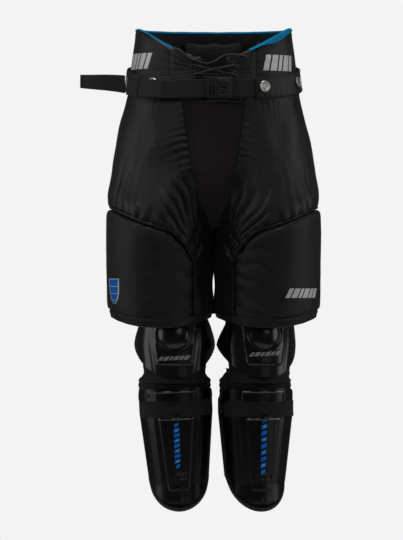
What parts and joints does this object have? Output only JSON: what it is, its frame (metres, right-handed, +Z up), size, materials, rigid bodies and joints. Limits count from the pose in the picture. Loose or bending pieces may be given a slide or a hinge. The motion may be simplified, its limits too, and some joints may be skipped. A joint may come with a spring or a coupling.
{
  "type": "hockey pants",
  "caption": "Padded youth hockey pants with laced fly, belt and brace buttons, and jointed knee and shin guards hung inside the legs",
  "frame": {"origin": "centre of the waist opening, level with the belt at the sides", "axes": "+Z up, towards the top of the waistband; the front faces -Y; the wearer's left is +X"},
  "size_m": [0.333, 0.2138, 0.669],
  "materials": {
    "nylon_shell": "satin woven nylon",
    "stretch_knit": "matte knit",
    "pad_cover": "satin quilted nylon",
    "lining": "matte tricot",
    "foam": "brushed foam laminate",
    "inner_plate": "moulded sheet",
    "webbing": "matte webbing",
    "buckle_plastic": "fine grain",
    "shin_plastic": "satin moulded",
    "knee_plastic": "polished moulded",
    "nickel": "nickel plated",
    "lace": "braided cord"
  },
  "bodies": {
    "waist": {"stretch_gusset": "stretch_knit", "front_panel_left": "nylon_shell", "seat_panel_left": "nylon_shell", "hip_cap_left": "inner_plate", "hip_pad_left": "foam", "kidney_pad_left": "foam", "front_panel_right": "nylon_shell", "seat_panel_right": "nylon_shell", "hip_cap_right": "inner_plate", "hip_pad_right": "foam", "kidney_pad_right": "foam", "tailbone_pad": "foam", "waistband": "nylon_shell", "waist_binding": "lining", "fly_tongue": "nylon_shell", "fly_eyelet_left_1": "nickel", "fly_eyelet_left_2": "nickel", "fly_eyelet_right_1": "nickel", "fly_eyelet_right_2": "nickel", "fly_lace": "lace", "belt_webbing": "webbing", "belt_tunnel_left": "nylon_shell", "belt_tunnel_right": "nylon_shell", "brace_button_left_1": "nickel", "brace_button_left_2": "nickel", "brace_button_left_3": "nickel", "brace_button_right_1": "nickel", "brace_button_right_2": "nickel", "brace_button_right_3": "nickel", "belt_tail": "webbing", "tail_keeper": "webbing", "buckle_socket": "buckle_plastic"},
    "buckle_plug": {"buckle_plug": "buckle_plastic"},
    "belt_tail_end": {"belt_tail_end": "webbing"},
    "left_thigh": {"left_thigh_pad": "pad_cover", "left_thigh_plate": "inner_plate", "left_inner_leg_panel": "nylon_shell", "left_hem_band": "pad_cover", "left_suspension_strap": "webbing"},
    "left_knee": {"left_knee_cap": "knee_plastic", "left_knee_liner": "foam"},
    "left_shin": {"left_upper_plate": "shin_plastic", "left_shin_shell": "shin_plastic", "left_shin_liner": "foam", "left_calf_strap": "webbing"},
    "right_thigh": {"right_thigh_pad": "pad_cover", "right_thigh_plate": "inner_plate", "right_inner_leg_panel": "nylon_shell", "right_hem_band": "pad_cover", "right_suspension_strap": "webbing"},
    "right_knee": {"right_knee_cap": "knee_plastic", "right_knee_liner": "foam"},
    "right_shin": {"right_upper_plate": "shin_plastic", "right_shin_shell": "shin_plastic", "right_shin_liner": "foam", "right_calf_strap": "webbing"}
  },
  "joints": [
    {"name": "left_hip_flex", "type": "hinge", "parent": "waist", "child": "left_thigh", "pos_m": [0.0745, 0, -0.14], "axis": [-1, 0, 0], "range_deg": [-10, 40]},
    {"name": "left_guard_swing", "type": "hinge", "parent": "left_thigh", "child": "left_knee", "pos_m": [0.0575, -0.05, -0.283], "axis": [1, 0, 0], "range_deg": [-2, 15]},
    {"name": "left_knee_bend", "type": "hinge", "parent": "left_knee", "child": "left_shin", "pos_m": [0.0575, -0.01, -0.418], "axis": [1, 0, 0], "range_deg": [0, 60]},
    {"name": "right_hip_flex", "type": "hinge", "parent": "waist", "child": "right_thigh", "pos_m": [-0.0745, 0, -0.14], "axis": [-1, 0, 0], "range_deg": [-10, 40]},
    {"name": "right_guard_swing", "type": "hinge", "parent": "right_thigh", "child": "right_knee", "pos_m": [-0.0545, -0.05, -0.283], "axis": [1, 0, 0], "range_deg": [-2, 15]},
    {"name": "right_knee_bend", "type": "hinge", "parent": "right_knee", "child": "right_shin", "pos_m": [-0.0545, -0.01, -0.418], "axis": [1, 0, 0], "range_deg": [0, 60]},
    {"name": "tail_swing", "type": "hinge", "parent": "waist", "child": "belt_tail_end", "pos_m": [-0.1232, -0.0474, 0], "axis": [0, 0, 1], "range_deg": [-30, 20]},
    {"name": "buckle_release", "type": "slide", "parent": "waist", "child": "buckle_plug", "axis": [-1, 0, 0], "range_m": [0, 0.025]}
  ]
}
